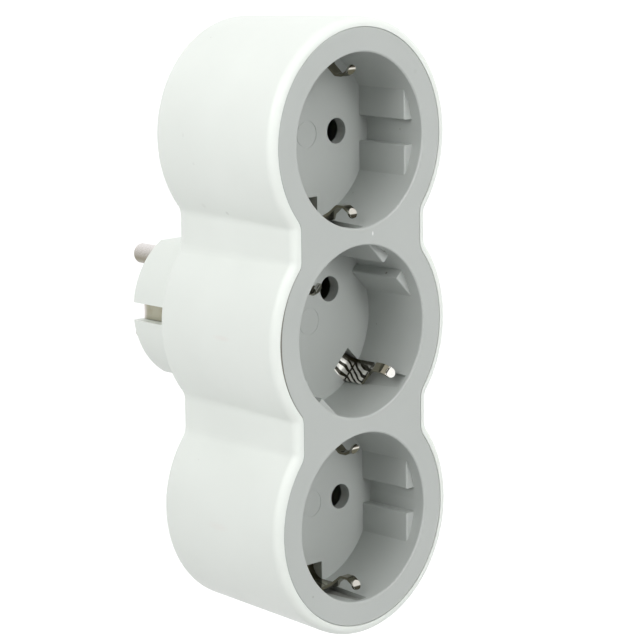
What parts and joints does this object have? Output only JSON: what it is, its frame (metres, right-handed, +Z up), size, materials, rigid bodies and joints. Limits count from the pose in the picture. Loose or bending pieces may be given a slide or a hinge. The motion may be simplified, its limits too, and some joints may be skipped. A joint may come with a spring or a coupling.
{
  "type": "multi socket adapter",
  "caption": "Upright mains adapter: a lobed white casing with a round earthed plug behind it and a grey face of recessed sockets with side earth clips.",
  "frame": {"origin": "centre of the plug barrel's end face, midway between the two pins", "axes": "+Y along the pins, the way the plug goes in; the socket face looks towards -Y; +Z up the row of sockets; +X across the face"},
  "size_m": [0.0544, 0.0767, 0.1402],
  "materials": {
    "casing_plastic": "satin moulded white",
    "cover_plastic": "satin moulded light grey",
    "contact_brass": "stamped brass strip",
    "pin_nickel": "nickel-plated turned brass",
    "earth_nickel": "bright nickel-plated strip",
    "rivet_brass": "plain brass",
    "screw_steel": "zinc-plated steel"
  },
  "bodies": {
    "root": {"rear_housing": "casing_plastic", "front_cover": "cover_plastic", "line_bar": "contact_brass", "neutral_bar": "contact_brass", "plug_pin_upper": "pin_nickel", "plug_pin_lower": "pin_nickel", "earth_clip_upper": "earth_nickel", "earth_clip_middle": "earth_nickel", "earth_clip_lower": "earth_nickel", "earth_link": "contact_brass", "plug_earth_contact": "earth_nickel", "earth_rivets": "rivet_brass", "earth_rivet_middle": "rivet_brass", "housing_screws": "screw_steel"}
  },
  "joints": []
}
